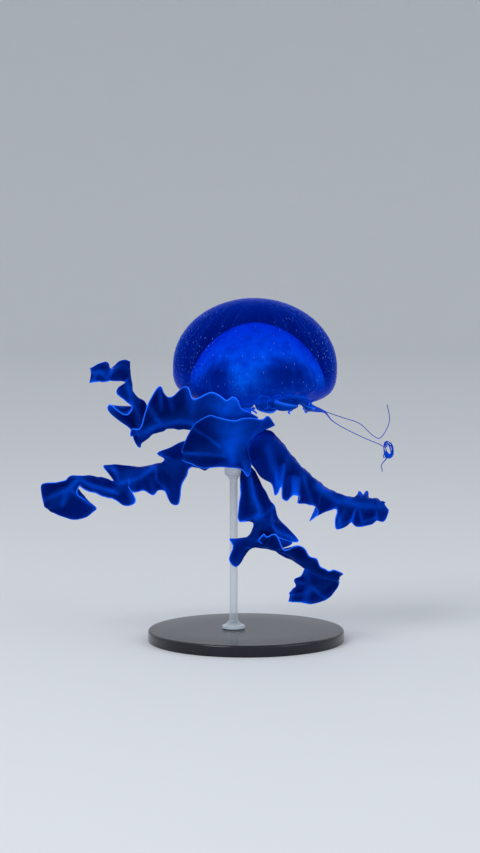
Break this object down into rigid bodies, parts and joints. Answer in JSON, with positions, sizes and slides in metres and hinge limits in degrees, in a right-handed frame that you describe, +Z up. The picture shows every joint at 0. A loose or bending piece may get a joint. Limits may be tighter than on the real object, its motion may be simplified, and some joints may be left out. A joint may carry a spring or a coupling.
{
  "type": "jellyfish",
  "caption": "Life-size mauve-stinger jellyfish with a thick bell, frilled oral arms and trailing tentacles, held on a rod over a flat round base.",
  "frame": {"origin": "middle of the underside of the whole model, on the surface it stands on", "axes": "+Z up; +Y to the back, so the animal is seen from -Y as it is posed; +X to the viewer's right, where the long tentacles trail"},
  "size_m": [0.217, 0.12, 0.2089],
  "materials": {
    "bell_jelly": "clear blue jelly, wet gloss",
    "arm_jelly": "clear blue jelly, thin and wet",
    "inner_jelly": "dense blue jelly, wet gloss",
    "stand_base": "polished black acrylic",
    "stand_rod": "frosted clear acrylic"
  },
  "bodies": {
    "root": {"bell": "bell_jelly", "gonad_1": "inner_jelly", "gonad_2": "inner_jelly", "gonad_3": "inner_jelly", "gonad_4": "inner_jelly", "tentacle_1_root": "inner_jelly", "tentacle_1_tip": "inner_jelly", "tentacle_2_root": "inner_jelly", "tentacle_2_tip": "inner_jelly", "tentacle_3": "inner_jelly", "tentacle_4": "inner_jelly", "tentacle_5": "inner_jelly", "tentacle_6": "inner_jelly", "tentacle_7": "inner_jelly", "tentacle_8": "inner_jelly", "trunk": "inner_jelly", "arm_upper_left_root": "arm_jelly", "arm_upper_left_middle": "arm_jelly", "arm_upper_left_tip": "arm_jelly", "arm_left_root": "arm_jelly", "arm_left_middle": "arm_jelly", "arm_left_fore": "arm_jelly", "arm_left_tip": "arm_jelly", "arm_lower_root": "arm_jelly", "arm_lower_middle": "arm_jelly", "arm_lower_fore": "arm_jelly", "arm_lower_tip": "arm_jelly", "arm_right_root": "arm_jelly", "arm_right_middle": "arm_jelly", "arm_right_tip": "arm_jelly", "lip_front": "arm_jelly", "lip_back": "arm_jelly", "stand_base": "stand_base", "stand_rod": "stand_rod"}
  },
  "joints": []
}
